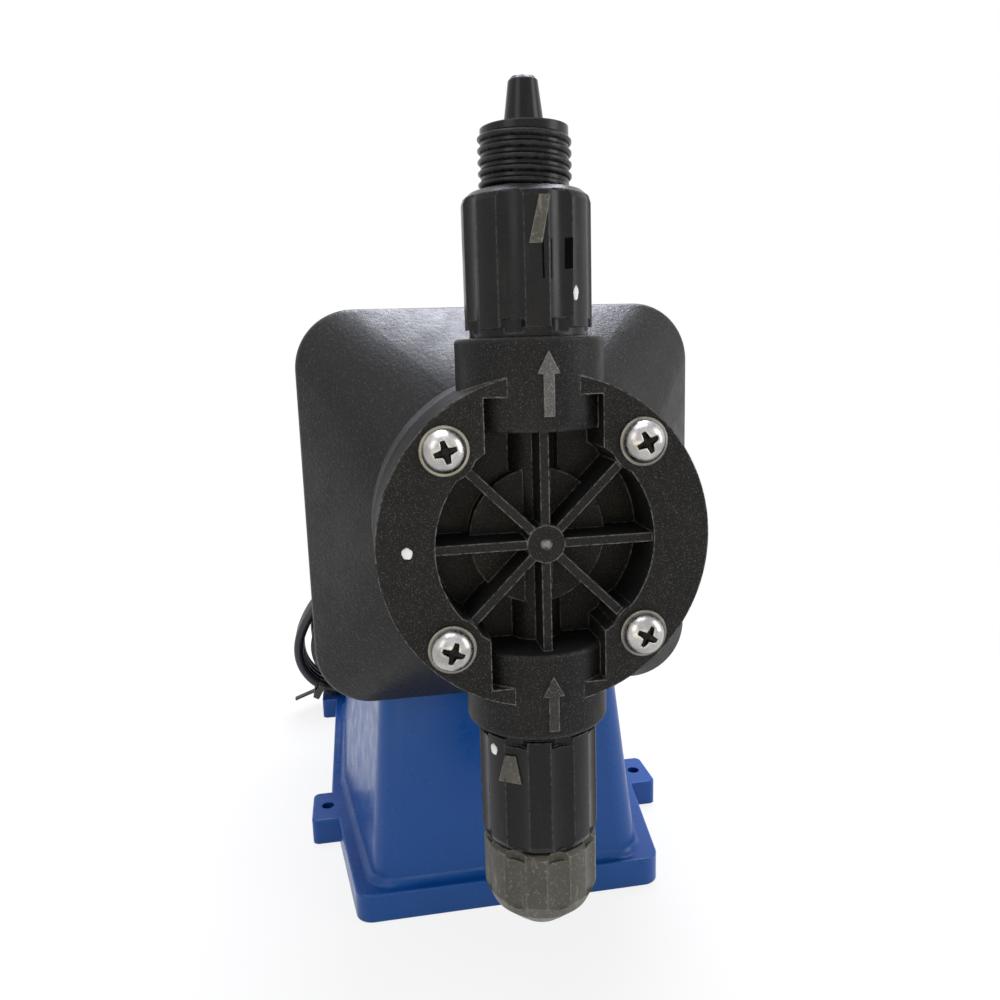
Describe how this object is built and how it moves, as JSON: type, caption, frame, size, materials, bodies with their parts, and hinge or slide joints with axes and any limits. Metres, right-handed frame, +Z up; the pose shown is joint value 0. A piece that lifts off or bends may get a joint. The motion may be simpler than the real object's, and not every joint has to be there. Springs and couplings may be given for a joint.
{
  "type": "diaphragm metering pump",
  "caption": "Metering pump with a round ribbed liquid end between upright suction and discharge ball valves, on a square solenoid housing and a hollow bolting pedestal.",
  "frame": {"origin": "centre of the four ear holes, on the pedestal's underside", "axes": "+Z up, the liquid end faces -Y, +X to the right seen from the liquid end's side"},
  "size_m": [0.1771, 0.3228, 0.2885],
  "materials": {
    "head_plastic": "glass-filled, satin",
    "valve_plastic": "satin gloss",
    "nut_plastic": "scuffed, matte",
    "housing_plastic": "fine texture",
    "base_plastic": "semi-gloss",
    "stainless": "satin",
    "plain_steel": "machined",
    "bronze": "machined",
    "winding": "varnished",
    "seat_plastic": "matte",
    "ceramic": "polished",
    "seal_rubber": "matte",
    "diaphragm_face": "matte",
    "knob_plastic": "satin",
    "lens": "clear tinted",
    "board": "lacquered",
    "cord_jacket": "satin",
    "tie_plastic": "satin"
  },
  "bodies": {
    "pump": {"pump_head": "head_plastic", "adapter_ring": "head_plastic", "head_screws": "stainless", "head_washers": "stainless", "discharge_valve": "valve_plastic", "suction_valve": "valve_plastic", "discharge_nozzle": "valve_plastic", "suction_nozzle": "valve_plastic", "suction_cap_nut": "nut_plastic", "tube_clamp_ring": "valve_plastic", "discharge_seat": "seat_plastic", "suction_seat": "seat_plastic", "suction_cage": "seat_plastic", "discharge_seal": "seal_rubber", "suction_seal": "seal_rubber", "diaphragm": "diaphragm_face", "shaft_bush": "bronze", "solenoid_can": "plain_steel", "solenoid_coil": "winding", "pole_piece": "plain_steel", "return_spring": "stainless", "housing": "housing_plastic", "cover_gasket": "seal_rubber", "rear_cover": "housing_plastic", "cover_screws": "stainless", "rod_bush": "bronze", "rate_control": "plain_steel", "power_lens": "lens", "control_board": "board", "cord_gland": "knob_plastic", "base": "base_plastic", "base_screws": "stainless", "power_cord": "cord_jacket", "power_cord_tail": "cord_jacket", "cord_coil": "cord_jacket", "cord_tie": "tie_plastic", "power_plug": "cord_jacket"},
    "drive": {"drive_shaft": "stainless", "armature": "plain_steel", "diaphragm_support": "plain_steel"},
    "stroke_knob": {"stroke_knob": "knob_plastic"},
    "stroke_rod": {"stroke_rod": "stainless"},
    "rate_knob": {"rate_knob": "knob_plastic", "rate_spindle": "stainless"},
    "discharge_ball": {"discharge_ball": "ceramic"},
    "suction_ball": {"suction_ball": "ceramic"}
  },
  "joints": [
    {"name": "stroke", "type": "slide", "parent": "pump", "child": "drive", "axis": [0, -1, 0], "range_m": [0, 0.00125], "stiffness_N_per_m": 3000, "springref_m": -0.002, "deforming": ["return_spring", "diaphragm"]},
    {"name": "stroke_setting", "type": "hinge", "parent": "pump", "child": "stroke_knob", "pos_m": [0, 0.0497, 0.1624], "axis": [0, 1, 0], "range_deg": [-270, 0]},
    {"name": "stroke_rod_slide", "type": "slide", "parent": "pump", "child": "stroke_rod", "axis": [0, -1, 0], "range_m": [0, 0.00094247]},
    {"name": "rate_setting", "type": "hinge", "parent": "pump", "child": "rate_knob", "pos_m": [0, 0.0497, 0.1244], "axis": [0, 1, 0], "range_deg": [-135, 135]},
    {"name": "discharge_ball_lift", "type": "slide", "parent": "pump", "child": "discharge_ball", "axis": [0, 0, 1], "range_m": [0, 0.002]},
    {"name": "suction_ball_lift", "type": "slide", "parent": "pump", "child": "suction_ball", "axis": [0, 0, 1], "range_m": [0, 0.002]}
  ],
  "couplings": [
    {"joint": "stroke_setting", "follows": "stroke_rod_slide", "rad_per_m": -5000}
  ]
}
